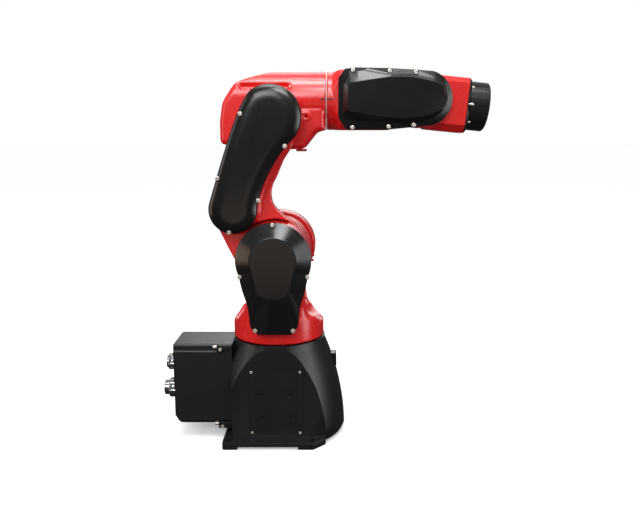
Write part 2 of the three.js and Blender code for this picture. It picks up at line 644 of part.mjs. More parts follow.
add("elbow_casting", elbowCasting(), RED());
add("elbow_far_cover", block([-55.7, 47.7], [42.3, 45], [512.3, 585.7]), BLACK_COVER());
const stopBlock = rounded([[33, 487, 1], [50, 487, 1], [50, 490.4, 0], [33, 490.1, 0]]);
add("elbow_stop_block", prism(stopBlock, -14, 14), RED());
add("j4_motor", block([-48, 28], [-17.5, 17.5], [552.5, 587.5]), MOTOR());
const j4Case = [[0, 29], [17.5, 29], [17.5, 50.5], [33.6, 50.5], [33.6, 80], [29, 80], [29, 88], [0, 88]];
add("j4_gearbox", turned(j4Case, "x", [0, 0, FOREARM_AXIS]), STEEL());

// ---------------------------------------------------------------- forearm
function forearmCasting() {
  const side = [
    [100, 521.5], [184, 521.5], [226, 525],
    ...arc([239, 571], 43, -72, 74, 24),
    [226, 612.5], [182, 616], [100, 617.5],
  ];
  const [inner, outer] = FORK_Y;
  const section = rounded([
    [-36, 521], [36, 521], [outer, 535], [outer, 604], [36, 618], [-36, 618], [-outer, 604], [-outer, 535],
  ]);
  const body = prism(side, -outer, outer).intersect(prism(section, 90, 300, "x"));
  const collar = rod(COLLAR_R, SPLIT_HIGH, 94, "x", [0, 0, FOREARM_AXIS], 64);
  const root = wasm.Manifold.hull([
    rod(COLLAR_R, 93, 94, "x", [0, 0, FOREARM_AXIS], 64),
    body.intersect(block([105, 106], [-60, 60], [500, 640])),
  ]);
  return cut(
    join(cut(body, block([80, 105], [-60, 60], [500, 640])), collar, root),
    block([FORK_POCKET, 320], [-inner, inner], [500, 650]),
    block([110, 179], [-43, 43], [535, 606]),
    block([116, 172], [-60, 60], [542, 600]),
    rod(29.5, 80, 88.5, "x", [0, 0, FOREARM_AXIS], 32),
    rod(14, 80, 120, "x", [0, 0, FOREARM_AXIS], 24),
    rod(15.3, -60, 60, "y", [WRIST_AXIS[0], 0, WRIST_AXIS[1]], 20),
  );
}

// Rim of the forearm's side cover, and its raised panel point for point with the rim.
const forearmRim = [
  [102, 602], [102, 541], [115, 522.5], [184, 522.5], [205, 524.5], [226, 526.5],
  ...arc([239, 571], 44, -70, 72, 16),
  [228, 615], [214, 615.8], [182, 617.5], [130, 618.5], [112, 616.5],
];
const forearmPanel = [
  [117, 590], [117, 554], [123, 550.5], [172, 542.5], [190, 540.6], [205, 539.5],
  [215, 540.2], [223, 541.2], [231, 542.4], [240, 544], [247, 546], [253, 548], [258, 550], [262, 552],
  [265, 555], [267.5, 558.5], [268.3, 564], [268.5, 571], [268.3, 577], [267.5, 583], [266, 587],
  [263, 590.5], [252, 595.5], [238, 599.5], [214, 603.5], [182, 603.5], [132, 596], [122, 595],
];

function forearmCoverSections() {
  return {
    outside: [
      { points: forearmRim, y: -50.3 },
      { points: forearmRim, y: -52.5 },
      { points: offset(forearmPanel, 1.2), y: -61.4 },
      { points: forearmPanel, y: -62.3 },
    ],
    inside: [
      { points: offset(forearmRim, -3.5), y: -49 },
      { points: offset(forearmRim, -3.5), y: -51 },
      { points: offset(forearmPanel, -0.5), y: -59.8 },
    ],
  };
}

const { outside, inside } = forearmCoverSections();
add("forearm_casting", forearmCasting(), RED());
add("forearm_cover_near", cut(loft(outside), loft(inside)), BLACK_COVER());
add("forearm_cover_far", cut(loft(mirrorY(outside)), loft(mirrorY(inside))), BLACK_COVER());
const wristWheels = { small: 9, large: 17, bore: 8 };
beltDrive("j5", [144, 571], 17, [-41, -6], WRIST_AXIS, [-58, -52.5], wristWheels);
const wristCentre = [WRIST_AXIS[0], 0, WRIST_AXIS[1]];
add("wrist_bearing_near", ring(12.4, 15, -49.7, -41.8, "y", wristCentre, 16), STEEL());
add("wrist_bearing_far", ring(12.4, 15, 41.8, 49.7, "y", wristCentre, 16), STEEL());

// ---------------------------------------------------------------- wrist, in its own tilted group
const wrist = new THREE.Group();
wrist.position.set(WRIST_AXIS[0], 0, WRIST_AXIS[1]);
wrist.rotation.y = TOOL_PITCH;
robot.add(wrist);
const PLATE_BACK = 70.6;
const PLATE_FRONT = 75.2;
const WRIST_UNDER = -46.2;
const WRIST_OVER = 41;
const wristSection = [
  [-28, WRIST_UNDER], [28, WRIST_UNDER], [41, -34.2], [41, 32.6], [32, WRIST_OVER], [-32, WRIST_OVER],
  [-41, 32.6], [-41, -34.2],
];

function wristCasting() {
  const side = [
    ...arc([0, 0], WRIST_HALF_HEIGHT, 114.3, 270, 24), [14, WRIST_UNDER], [PLATE_BACK, WRIST_UNDER],
    [PLATE_BACK, WRIST_OVER],
  ];
  const width = WRIST_HALF_WIDTH;
  const section = join(
    prism(wristSection, 10, PLATE_BACK, "x"),
    rod(WRIST_HALF_HEIGHT, -width, width, "y", [0, 0, 0], 56),
  );
  const stub = rod(12, width - 2, 50.5, "y", [0, 0, 0], 16);
  return cut(
    join(prism(side, -width, width).intersect(section), stub),
    block([-22, PLATE_BACK + 1], [-17.4, 17.4], [-20, 20]),
    rod(32, 46, PLATE_BACK + 1, "x"),
    rod(26.4, -width - 1, -17.7, "y"),
  );
}

function wristEndPlate() {
  const chamfered = wasm.Manifold.hull([
    prism(wristSection, PLATE_BACK + GAP, PLATE_BACK + 1, "x"),
    prism(offset(wristSection, -3.5), PLATE_FRONT - 1, PLATE_FRONT, "x"),
  ]);
  return cut(chamfered, rod(31.5, 65, 90, "x", [0, 0, 0], 32));
}

// Eight screw seats are scooped out of the collar's back edge.
const COLLAR_SEATS = { count: 8, radius: 39, size: 3.8, end: 82 };

function wristCollar() {
  const profile = [
    [28.2, PLATE_FRONT + GAP], [40.2, PLATE_FRONT + GAP], [40.2, 105], [37.7, 107.5], [28.2, 107.5],
    [28.2, PLATE_FRONT + GAP],
  ];
  const seats = Array.from({ length: COLLAR_SEATS.count }, (_, i) => {
    const angle = turn((360 * i) / COLLAR_SEATS.count);
    const at = [0, COLLAR_SEATS.radius * Math.cos(angle), COLLAR_SEATS.radius * Math.sin(angle)];
    return rod(COLLAR_SEATS.size, 70, COLLAR_SEATS.end, "x", at, 12);
  });
  return cut(turned(profile, "x", [0, 0, 0], 48), ...seats);
}

const j5Hub = [[0, -52.2], [12, -52.2], [12, -40], [26, -40], [26, -18], [0, -18]];
const j6Case = [[0, 41], [16, 41], [16, 46.5], [31, 46.5], [31, 74.9], [27.6, 74.9], [27.6, 94], [0, 94]];

// Flange to the usual 31.5 mm bolt circle: four tapped holes, a pin hole and a centring bore.
function toolFlange() {
  const profile = [[0, 95], [27.6, 95], [27.6, 108.3], [26.6, TOOL_FACE], [0, TOOL_FACE]];
  const disc = turned(profile, "x", [0, 0, 0], 48);
  const holes = [45, 135, 225, 315].map((angle) =>
    rod(2.5, 100, 115, "x", [0, 15.75 * Math.cos(turn(angle)), 15.75 * Math.sin(turn(angle))], 8),
  );
  const bore = rod(10, 103, 115, "x", [0, 0, 0], 20);
  const pin = rod(2.5, 100, 115, "x", [0, 0, 15.75], 8);
  return cut(disc, bore, pin, ...holes);
}

add("wrist_casting", wristCasting(), RED(), wrist);
add("wrist_end_plate", wristEndPlate(), BLACK_COVER(), wrist);
add("wrist_collar", wristCollar(), BLACK_COVER(), wrist);
add("j5_gearbox", turned(j5Hub, "y", [0, 0, 0], 20), STEEL(), wrist);
add("j6_motor", block([-20, 40], [-16, 16], [-16, 16]), MOTOR(), wrist);
add("j6_gearbox", turned(j6Case, "x", [0, 0, 0], 20), STEEL(), wrist);
add("tool_flange", toolFlange(), ALUMINIUM(), wrist);

export default robot;
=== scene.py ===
import json
import math

import bmesh
import bpy
import numpy as np
from mathutils import Matrix, Vector


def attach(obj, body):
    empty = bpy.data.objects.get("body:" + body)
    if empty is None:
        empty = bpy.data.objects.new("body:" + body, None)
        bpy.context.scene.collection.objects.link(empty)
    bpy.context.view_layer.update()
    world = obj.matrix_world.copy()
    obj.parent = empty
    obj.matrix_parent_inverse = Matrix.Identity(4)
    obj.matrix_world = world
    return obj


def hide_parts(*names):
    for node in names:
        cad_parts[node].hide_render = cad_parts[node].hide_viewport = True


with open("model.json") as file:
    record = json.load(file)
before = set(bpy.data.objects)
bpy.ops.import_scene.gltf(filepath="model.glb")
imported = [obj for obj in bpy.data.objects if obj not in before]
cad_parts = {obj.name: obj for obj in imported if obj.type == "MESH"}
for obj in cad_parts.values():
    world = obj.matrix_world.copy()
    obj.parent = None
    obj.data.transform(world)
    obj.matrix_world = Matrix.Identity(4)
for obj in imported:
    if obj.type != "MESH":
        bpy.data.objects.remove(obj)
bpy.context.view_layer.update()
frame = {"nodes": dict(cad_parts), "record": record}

MM = 0.001
SHOULDER = (0.0, 317.0)
ELBOW = (-4.0, 542.0)
FOREARM_AXIS = 570.0
WRIST_AXIS = (239.0, 570.0)
TOOL_PITCH = math.radians(5.7)
SENSOR_WIDTH = 36.0
VIEW_WIDTH = 640.0
VIEW_FOCUS = 682.0
VIEW_SHIFT = -7.0
CAMERA_PLACE = (0.0841, -1.1589, 0.5177)
CAMERA_DIP = 10.26


# ---------------------------------------------------------------- camera, light and floor
# Each light is (name, place, target, size, watts, colour). The soft lights reach everything; the cards are
# seen only in the gloss of the paint and the covers.
SOFT_LIGHTS = [
    ("top_softbox", (0.05, -0.35, 1.70), (0.08, 0.0, 0.45), (1.3, 0.6), 9),
    ("front_key", (-0.5, -2.3, 1.5), (0.05, 0.0, 0.35), (1.2, 0.8), 22),
    ("left_strip", (-1.25, -0.35, 0.65), (0.0, 0.0, 0.4), (0.30, 1.2), 3.5),
    ("right_strip", (1.35, -0.55, 0.55), (0.05, 0.0, 0.35), (0.35, 1.2), 4.5),
]
CARDS = [
    ("warm_left", (-1.60, -0.80, 0.34), (-0.05, -0.1, 0.36), (0.45, 0.9), 2.5, (1.0, 0.60, 0.38)),
    ("right_card", (0.26, -0.92, 1.36), (0.04, -0.1, 0.36), (0.46, 0.34), 7.0),
    ("right_wide_card", (1.30, -1.12, 0.45), (0.04, -0.1, 0.36), (0.70, 0.90), 5.0),
    ("right_low_card", (1.5, -0.42, 0.24), (0.0, -0.1, 0.30), (0.5, 1.0), 5.5),
    ("overhead_card", (0.05, 0.85, 1.75), (0.08, 0.0, 0.60), (1.1, 1.0), 9.0),
    ("front_warm_card", (-0.20, -2.40, -0.02), (0.0, -0.1, 0.32), (0.9, 0.4), 0.9, (1.0, 0.84, 0.72)),
    ("ridge_card", (0.12, -0.48, 1.74), (0.12, -0.05, 0.60), (0.9, 0.26), 8.0),
]
FILL_LIGHT = ("back_fill", (0.2, 1.8, 1.2), (0.05, 0.0, 0.35), (1.6, 1.0), 14)
DIFFUSE_SKY = [(0.0, 0.10), (0.46, 0.20), (0.54, 0.60), (1.0, 0.98)]
MIRRORED_SKY = [(0.0, 0.03), (0.45, 0.05), (0.60, 0.16), (0.85, 0.30)]
FLOOR_TINT = (0.90, 0.93)
FLOOR_GLOW = 0.26


def make_camera():
    """The lens sits level with the forearm and looks down by ten degrees at the arm's covered side."""
    data = bpy.data.cameras.new("camera")
    data.sensor_width = SENSOR_WIDTH
    data.lens = SENSOR_WIDTH * VIEW_FOCUS / VIEW_WIDTH
    data.shift_x = VIEW_SHIFT / VIEW_WIDTH
    data.clip_end = 50.0
    camera = bpy.data.objects.new("camera", data)
    camera.location = CAMERA_PLACE
    camera.rotation_euler = (math.radians(90.0 - CAMERA_DIP), 0.0, 0.0)
    bpy.context.scene.collection.objects.link(camera)
    bpy.context.scene.camera = camera


def area_light(name, place, target, size, power, colour=(1.0, 1.0, 1.0)):
    """A rectangular lamp at a place, turned to face its target."""
    data = bpy.data.lights.new(name, "AREA")
    data.shape = "RECTANGLE"
    data.size, data.size_y = size
    data.energy = power
    data.color = colour
    light = bpy.data.objects.new(name, data)
    light.location = place
    away = Vector(place) - Vector(target)
    light.rotation_euler = away.to_track_quat("Z", "Y").to_euler()
    bpy.context.scene.collection.objects.link(light)
    return light


def make_studio():
    """White backdrop, pale floor, a sky that the gloss sees darker, and the lights."""
    scene = bpy.context.scene
    scene.view_settings.view_transform = "Standard"
    world = bpy.data.worlds.new("studio")
    scene.world = world
    world.use_nodes = True
    nodes, links = world.node_tree.nodes, world.node_tree.links
    nodes.clear()
    place = nodes.new("ShaderNodeTexCoord")
    split = nodes.new("ShaderNodeSeparateXYZ")
    links.new(place.outputs["Generated"], split.inputs[0])
    lift = nodes.new("ShaderNodeMapRange")
    lift.inputs["From Min"].default_value = -1.0
    links.new(split.outputs["Z"], lift.inputs["Value"])

    def sky(stops):
        ramp = nodes.new("ShaderNodeValToRGB")
        marks = ramp.color_ramp.elements
        while len(marks) < len(stops):
            marks.new(0.5)
        for mark, (position, level) in zip(marks, stops):
            mark.position = position
            mark.color = (level, level, level * 1.02, 1)
        links.new(lift.outputs[0], ramp.inputs["Fac"])
        made = nodes.new("ShaderNodeBackground")
        links.new(ramp.outputs[0], made.inputs["Color"])
        return made

    even = sky(DIFFUSE_SKY)
    mirrored = sky(MIRRORED_SKY)
    seen = nodes.new("ShaderNodeBackground")
    seen.inputs["Color"].default_value = (1, 1, 1, 1)
    path = nodes.new("ShaderNodeLightPath")
    soft = nodes.new("ShaderNodeMixShader")
    links.new(path.outputs["Is Glossy Ray"], soft.inputs[0])
    links.new(even.outputs[0], soft.inputs[1])
    links.new(mirrored.outputs[0], soft.inputs[2])
    mix = nodes.new("ShaderNodeMixShader")
    links.new(path.outputs["Is Camera Ray"], mix.inputs[0])
    links.new(soft.outputs[0], mix.inputs[1])
    links.new(seen.outputs[0], mix.inputs[2])
    out = nodes.new("ShaderNodeOutputWorld")
    links.new(mix.outputs[0], out.inputs["Surface"])

    for light in SOFT_LIGHTS:
        area_light(*light)
    for card in CARDS:
        area_light(*card).visible_diffuse = False
    area_light(*FILL_LIGHT)

    bpy.ops.mesh.primitive_plane_add(size=60.0, location=(0.0, 0.0, 0.0))
    floor = bpy.context.object
    floor.name = "floor"
    pale = bpy.data.materials.new("pale_floor")
    pale.use_nodes = True
    shader = pale.node_tree.nodes["Principled BSDF"]
    grain = pale.node_tree.nodes.new("ShaderNodeTexNoise")
    grain.inputs["Scale"].default_value = 3.0
    tint = pale.node_tree.nodes.new("ShaderNodeMapRange")
    tint.inputs["To Min"].default_value, tint.inputs["To Max"].default_value = FLOOR_TINT
    pale.node_tree.links.new(grain.outputs[0], tint.inputs["Value"])
    pale.node_tree.links.new(tint.outputs[0], shader.inputs["Base Color"])
    shader.inputs["Roughness"].default_value = 0.8
    shader.inputs["Emission Color"].default_value = (1, 1, 1, 1)
    shader.inputs["Emission Strength"].default_value = FLOOR_GLOW
    floor.data.materials.append(pale)
    floor.visible_diffuse = False
    floor.visible_glossy = False


make_camera()
make_studio()


# ---------------------------------------------------------------- materials
def material(name, colour, roughness, metallic=0.0, coat=0.0, coat_roughness=0.05,
             mottle=0.04, spread=0.05, grain=(900.0, 0.02), edge_highlight=0.0, streak=None, gloss=0.5):
    """A procedural surface: colour that drifts a little, roughness that varies, and a fine bump.

    grain is (scale per metre, strength) of the bump; edge lightens the colour on sharp convex edges as a
    painted highlight; streak stretches the grain along one axis as a brushed or turned finish."""
    made = bpy.data.materials.new(name)
    made.use_nodes = True
    nodes, links = made.node_tree.nodes, made.node_tree.links
    shader = nodes["Principled BSDF"]
    shader.inputs["Metallic"].default_value = metallic
    shader.inputs["Coat Weight"].default_value = coat
    shader.inputs["Coat Roughness"].default_value = coat_roughness
    shader.inputs["Specular IOR Level"].default_value = gloss
    place = nodes.new("ShaderNodeTexCoord")
    vector = place.outputs["Object"]

    drift = nodes.new("ShaderNodeTexNoise")
    drift.inputs["Scale"].default_value = 14.0
    drift.inputs["Detail"].default_value = 4.0
    links.new(vector, drift.inputs["Vector"])
    ramp = nodes.new("ShaderNodeValToRGB")
    ramp.color_ramp.elements[0].position = 0.3
    ramp.color_ramp.elements[1].position = 0.7
    ramp.color_ramp.elements[0].color = (*[c * (1 - mottle) for c in colour], 1)
    ramp.color_ramp.elements[1].color = (*[min(1.0, c * (1 + mottle)) for c in colour], 1)
    links.new(drift.outputs[0], ramp.inputs["Fac"])
    surface = ramp.outputs[0]
    # Painted highlight: convex edges, where the pointiness is high, get a lighter colour.
    if edge_highlight:
        shape = nodes.new("ShaderNodeNewGeometry")
        highlight_mask = nodes.new("ShaderNodeMapRange")
        highlight_mask.inputs["From Min"].default_value = 0.52
        highlight_mask.inputs["From Max"].default_value = 0.62
        highlight_mask.inputs["To Max"].default_value = edge_highlight
        links.new(shape.outputs["Pointiness"], highlight_mask.inputs["Value"])
        blend = nodes.new("ShaderNodeMix")
        blend.data_type = "RGBA"
        links.new(highlight_mask.outputs[0], blend.inputs["Factor"])
        links.new(surface, blend.inputs["A"])
        blend.inputs["B"].default_value = (*[min(1.0, c * 1.6 + 0.03) for c in colour], 1)
        surface = blend.outputs["Result"]
    links.new(surface, shader.inputs["Base Color"])

    patches = nodes.new("ShaderNodeTexNoise")
    patches.inputs["Scale"].default_value = 45.0
    patches.inputs["Detail"].default_value = 5.0
    links.new(vector, patches.inputs["Vector"])
    sheen = nodes.new("ShaderNodeMapRange")
    sheen.inputs["From Min"].default_value = 0.3
    sheen.inputs["From Max"].default_value = 0.7
    sheen.inputs["To Min"].default_value = max(0.02, roughness - spread)
    sheen.inputs["To Max"].default_value = roughness + spread
    links.new(patches.outputs[0], sheen.inputs["Value"])
    links.new(sheen.outputs[0], shader.inputs["Roughness"])

    fine = nodes.new("ShaderNodeTexNoise")
    fine.inputs["Scale"].default_value = grain[0]
    fine.inputs["Detail"].default_value = 3.0
    if streak:
        stretch = nodes.new("ShaderNodeMapping")
        stretch.inputs["Scale"].default_value = streak
        links.new(vector, stretch.inputs["Vector"])
        links.new(stretch.outputs[0], fine.inputs["Vector"])
    else:
        links.new(vector, fine.inputs["Vector"])
    bump = nodes.new("ShaderNodeBump")
    bump.inputs["Strength"].default_value = grain[1]
    bump.inputs["Distance"].default_value = 0.0004
    links.new(fine.outputs[0], bump.inputs["Height"])
    links.new(bump.outputs[0], shader.inputs["Normal"])
    return made


LOOKS = {
    "red_paint": material("red_enamel", (0.72, 0.011, 0.011), 0.27, coat=0.5, coat_roughness=0.17,
                          mottle=0.02, spread=0.02, grain=(1200.0, 0.012)),
    # edge paints a lighter highlight on the convex edges of the black paint and the black mouldings.
    "black_paint": material("black_base_paint", (0.0052, 0.0050, 0.0052), 0.40, gloss=0.42, mottle=0.12,
                            spread=0.03, grain=(1500.0, 0.08), edge_highlight=0.2),
    "black_cover": material("black_moulding", (0.0072, 0.0064, 0.0060), 0.22, gloss=0.5, mottle=0.08,
                            spread=0.015, grain=(1800.0, 0.035), edge_highlight=0.15),
    "chrome": material("chrome_plating", (0.50, 0.52, 0.55), 0.14, metallic=1.0, mottle=0.05,
                       spread=0.04, grain=(300.0, 0.03)),
    "steel": material("machined_steel", (0.42, 0.42, 0.43), 0.32, metallic=1.0, mottle=0.06,
                      spread=0.08, grain=(900.0, 0.06), streak=(1.0, 1.0, 8.0)),
    "screw": material("screw_steel", (0.75, 0.70, 0.63), 0.42, metallic=0.85, mottle=0.08,
                      spread=0.05, grain=(2500.0, 0.06)),
    "aluminium": material("machined_aluminium", (0.60, 0.61, 0.63), 0.30, metallic=1.0, mottle=0.04,
                          spread=0.07, grain=(1200.0, 0.06), streak=(1.0, 6.0, 1.0)),
    "belt": material("belt_rubber", (0.012, 0.012, 0.012), 0.75, mottle=0.2, spread=0.08,
                     grain=(1500.0, 0.3)),
    "motor": material("black_anodising", (0.022, 0.024, 0.028), 0.45, metallic=0.3, mottle=0.1,
                      spread=0.06, grain=(1400.0, 0.15)),
    "board": material("solder_mask", (0.012, 0.10, 0.035), 0.35, mottle=0.25, spread=0.08,
                      grain=(700.0, 0.2)),
    "seal": material("pale_seal", (0.72, 0.71, 0.69), 0.45, mottle=0.04, spread=0.08, grain=(1200.0, 0.1)),
    "mark": material("mark_ink", (0.006, 0.006, 0.006), 0.5, mottle=0.2, spread=0.1,
                     grain=(2000.0, 0.1)),
}


# ---------------------------------------------------------------- outlines, in millimetres
def arc(centre, radius, start, end, steps, second=None):
    """Points of an elliptical arc, both ends included; angles in degrees."""
    second = radius if second is None else second
    angles = [math.radians(start + (end - start) * i / steps) for i in range(steps + 1)]
    return [(centre[0] + radius * math.cos(a), centre[1] + second * math.sin(a)) for a in angles]


def bend(start, first, second, end, steps):
    """Points along a cubic curve, both ends left out."""
    points = []
    for i in range(1, steps):
        t = i / steps
        weights = ((1 - t) ** 3, 3 * t * (1 - t) ** 2, 3 * t * t * (1 - t), t ** 3)
        corners = (start, first, second, end)
        points.append(tuple(sum(w * p[k] for w, p in zip(weights, corners)) for k in (0, 1)))
    return points


def straight(start, end, steps):
    """Points along a line, both ends left out."""
    return [tuple(start[k] + (end[k] - start[k]) * i / steps for k in (0, 1)) for i in range(1, steps)]


def curve(points, steps):
    """A smooth line through points, with a number of steps between each two; both ends included."""
    padded = [points[0], *points, points[-1]]
    line = []
    for i in range(len(points) - 1):
        a, b, c, d = padded[i:i + 4]
        for j in range(steps):
            t = j / steps
            line.append(tuple(
                0.5 * (2 * b[k] + (c[k] - a[k]) * t + (2 * a[k] - 5 * b[k] + 4 * c[k] - d[k]) * t * t
                       + (3 * b[k] - a[k] - 3 * c[k] + d[k]) * t ** 3)
                for k in (0, 1)
            ))
    return [*line, points[-1]]


def between(first, second, part):
    """The outline that lies between two others of equal length."""
    return [tuple(p[k] + (q[k] - p[k]) * part for k in (0, 1)) for p, q in zip(first, second)]


def offset(points, distance):
    """A counter-clockwise outline moved outwards; a negative distance moves it inwards."""
    p = np.array(points)
    before = p - np.roll(p, 1, axis=0)
    after = np.roll(p, -1, axis=0) - p
    before /= np.linalg.norm(before, axis=1)[:, None]
    after /= np.linalg.norm(after, axis=1)[:, None]
    along = before + after
    along /= np.linalg.norm(along, axis=1)[:, None]
    stretch = np.minimum(1.6, 1.0 / np.maximum(0.4, (along * after).sum(axis=1)))
    out = np.stack([along[:, 1], -along[:, 0]], axis=1)
    return [tuple(q) for q in p + out * (distance * stretch)[:, None]]


# ---------------------------------------------------------------- meshes
def link(obj):
    """Puts a new object into the scene."""
    bpy.context.scene.collection.objects.link(obj)
    return obj


def from_points(name, points, faces):
    """An object from points in millimetres."""
    mesh = bpy.data.meshes.new(name)
    mesh.from_pydata([tuple(c * MM for c in p) for p in points], [], faces)
    tidy = bmesh.new()
    tidy.from_mesh(mesh)
    bmesh.ops.recalc_face_normals(tidy, faces=tidy.faces)
    tidy.to_mesh(mesh)
    tidy.free()
    return link(bpy.data.objects.new(name, mesh))


def finish_piece(obj, look, body, smooth=40.0, level=False):
    """Material, shading, body and slot of a new piece; level keeps broad faces flat between eased edges."""
    obj.data.materials.clear()
    obj.data.materials.append(LOOKS[look])
    obj.data.shade_smooth()
    if smooth:
        obj.data.set_sharp_from_angle(angle=math.radians(smooth))
    if level:
        normals = obj.modifiers.new("normals", "WEIGHTED_NORMAL")
        normals.keep_sharp = True
    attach(obj, body)
    return obj


def add_bevel(obj, width, segments=3, angle=28.0):
    """Rounds the edges that are sharper than the angle."""
    bevel = obj.modifiers.new("edges", "BEVEL")
    bevel.width = width * MM
    bevel.segments = segments
    bevel.limit_method = "ANGLE"
    bevel.angle_limit = math.radians(angle)
    bevel.harden_normals = False
    return bevel


def baked(obj):
    """Applies the object's modifiers."""
    bpy.context.view_layer.update()
    graph = bpy.context.evaluated_depsgraph_get()
    mesh = bpy.data.meshes.new_from_object(obj.evaluated_get(graph))
    obj.modifiers.clear()
    obj.data = mesh
    return obj


def shell(name, sections, cutters=(), bevel=0.0, angle=28.0):
    """A moulded cover: a closed skin through sections of (outline, Y), flat at the back and in front."""
    count = len(sections[0][0])
    points = [(x, y, z) for outline, y in sections for x, z in outline]
    faces = []
    for s in range(len(sections) - 1):
        for i in range(count):
            a, b = s * count + i, s * count + (i + 1) % count
            faces.append((a, b, b + count, a + count))
    last = (len(sections) - 1) * count
    faces.append(tuple(last + i for i in range(count)))
    faces.append(tuple(reversed(range(count))))
    obj = from_points(name, points, faces)
    for cutter in cutters:
        subtract(obj, cutter)
    if bevel:
        add_bevel(obj, bevel, 3, angle)
        baked(obj)
    return obj


def subtract(obj, cutter):
    """Cuts a throw-away object out of another."""
    tool = obj.modifiers.new("cut", "BOOLEAN")
    tool.operation = "DIFFERENCE"
    tool.object = cutter
    tool.solver = "EXACT"
    baked(obj)
    bpy.data.objects.remove(cutter)
    return obj


def lathe_mesh(profile, segments=48):
    """Vertices and faces of a profile of (radius, height) turned about the local Z axis."""
    points, faces, rows = [], [], []
    for radius, height in profile:
        if radius < 1e-6:
            rows.append([len(points)])
            points.append((0.0, 0.0, height))
            continue
        rows.append(list(range(len(points), len(points) + segments)))
        for i in range(segments):
            angle = 2 * math.pi * i / segments
            points.append((radius * math.cos(angle), radius * math.sin(angle), height))
    for lower, upper in zip(rows, rows[1:]):
        for i in range(segments):
            j = (i + 1) % segments
            if len(lower) == 1:
                faces.append((lower[0], upper[j], upper[i]))
            elif len(upper) == 1:
                faces.append((lower[i], lower[j], upper[0]))
            else:
                faces.append((lower[i], lower[j], upper[j], upper[i]))
    return points, faces


def placed(points, at, direction, spin=0.0):
    """Local points (millimetres, Z along the direction) put at a place."""
    turn = Vector(direction).to_track_quat("Z", "Y").to_matrix() @ Matrix.Rotation(spin, 3, "Z")
    return [tuple(turn @ Vector(p) + Vector(at)) for p in points]


def gather(name, parts):
    """One object from several (points, faces) lists."""
    points, faces = [], []
    for part_points, part_faces in parts:
        start = len(points)
        points.extend(part_points)
        faces.extend(tuple(i + start for i in face) for face in part_faces)
    return from_points(name, points, faces)


def screw(radius=3.5, height=4.0, segments=36):
    """Socket head: a rounded rim, a hexagonal socket and a short shank under it."""
    socket = radius * 0.5
    profile = [(radius * 0.55, -3.0), (radius * 0.57, 0.0), (radius - 0.25, 0.0), (radius, 0.25)]
    profile += [(radius, height - 0.5), (radius - 0.15, height - 0.15), (radius - 0.5, height)]
    points, faces = lathe_mesh(profile, segments)
    faces.append(tuple(reversed(range(segments))))
    rim = len(points) - segments
    rows = []
    for depth in (height, height * 0.45):
        rows.append(len(points))
        for i in range(segments):
            angle = 2 * math.pi * i / segments
            sixth = math.pi / 3
            reach = socket * math.cos(sixth / 2) / math.cos((angle % sixth) - sixth / 2)
            points.append((reach * math.cos(angle), reach * math.sin(angle), depth))
    for low, high in ((rim, rows[0]), (rows[0], rows[1])):
        for i in range(segments):
            j = (i + 1) % segments
            faces.append((low + i, low + j, high + j, high + i))
    faces.append(tuple(rows[1] + i for i in range(segments)))
    return points, faces


def screws(name, places, direction, body, radius=3.5, height=4.0):
    """A row of identical screws that belong to one body, as one piece."""
    points, faces = screw(radius, height)
    parts = [(placed(points, at, direction, 0.4 * i), faces) for i, at in enumerate(places)]
    return finish_piece(gather(name, parts), "screw", body, smooth=35)


def pockets(places, direction, radius, depth):
    """Cutter for the round seats of screws: each runs from its place outwards."""
    points, faces = lathe_mesh([(0, 0), (radius, 0), (radius, depth), (0, depth)], 28)
    return gather("cutter", [(placed(points, at, direction), faces) for at in places])


# ---------------------------------------------------------------- castings
MELT_PUSHES = (0.55, -0.57)
SOFTEN_ROUNDS = 45


def neighbours_mean(points, edges, degree):
    """The middle of each point's neighbours."""
    sums = np.empty_like(points)
    for k in range(3):
        sums[:, k] = np.bincount(edges[:, 0], points[edges[:, 1], k], len(points))
        sums[:, k] += np.bincount(edges[:, 1], points[edges[:, 0], k], len(points))
    return sums / degree[:, None]


def sharpness(normals, edges, count):
    """1 near edges that must stay crisp, 0 where neighbouring facets meet at a shallow angle."""
    spread = normals.copy()
    for _ in range(2):
        sums = spread.copy()
        for k in range(3):
            sums[:, k] += np.bincount(edges[:, 0], spread[edges[:, 1], k], count)
            sums[:, k] += np.bincount(edges[:, 1], spread[edges[:, 0], k], count)
        spread = sums / np.linalg.norm(sums, axis=1)[:, None]
    lean = 1.0 - (spread * normals).sum(axis=1)
    marked = np.clip((lean - 0.02) / 0.03, 0.0, 1.0)
    wide = marked.copy()
    np.maximum.at(wide, edges[:, 0], marked[edges[:, 1]])
    np.maximum.at(wide, edges[:, 1], marked[edges[:, 0]])
    return wide


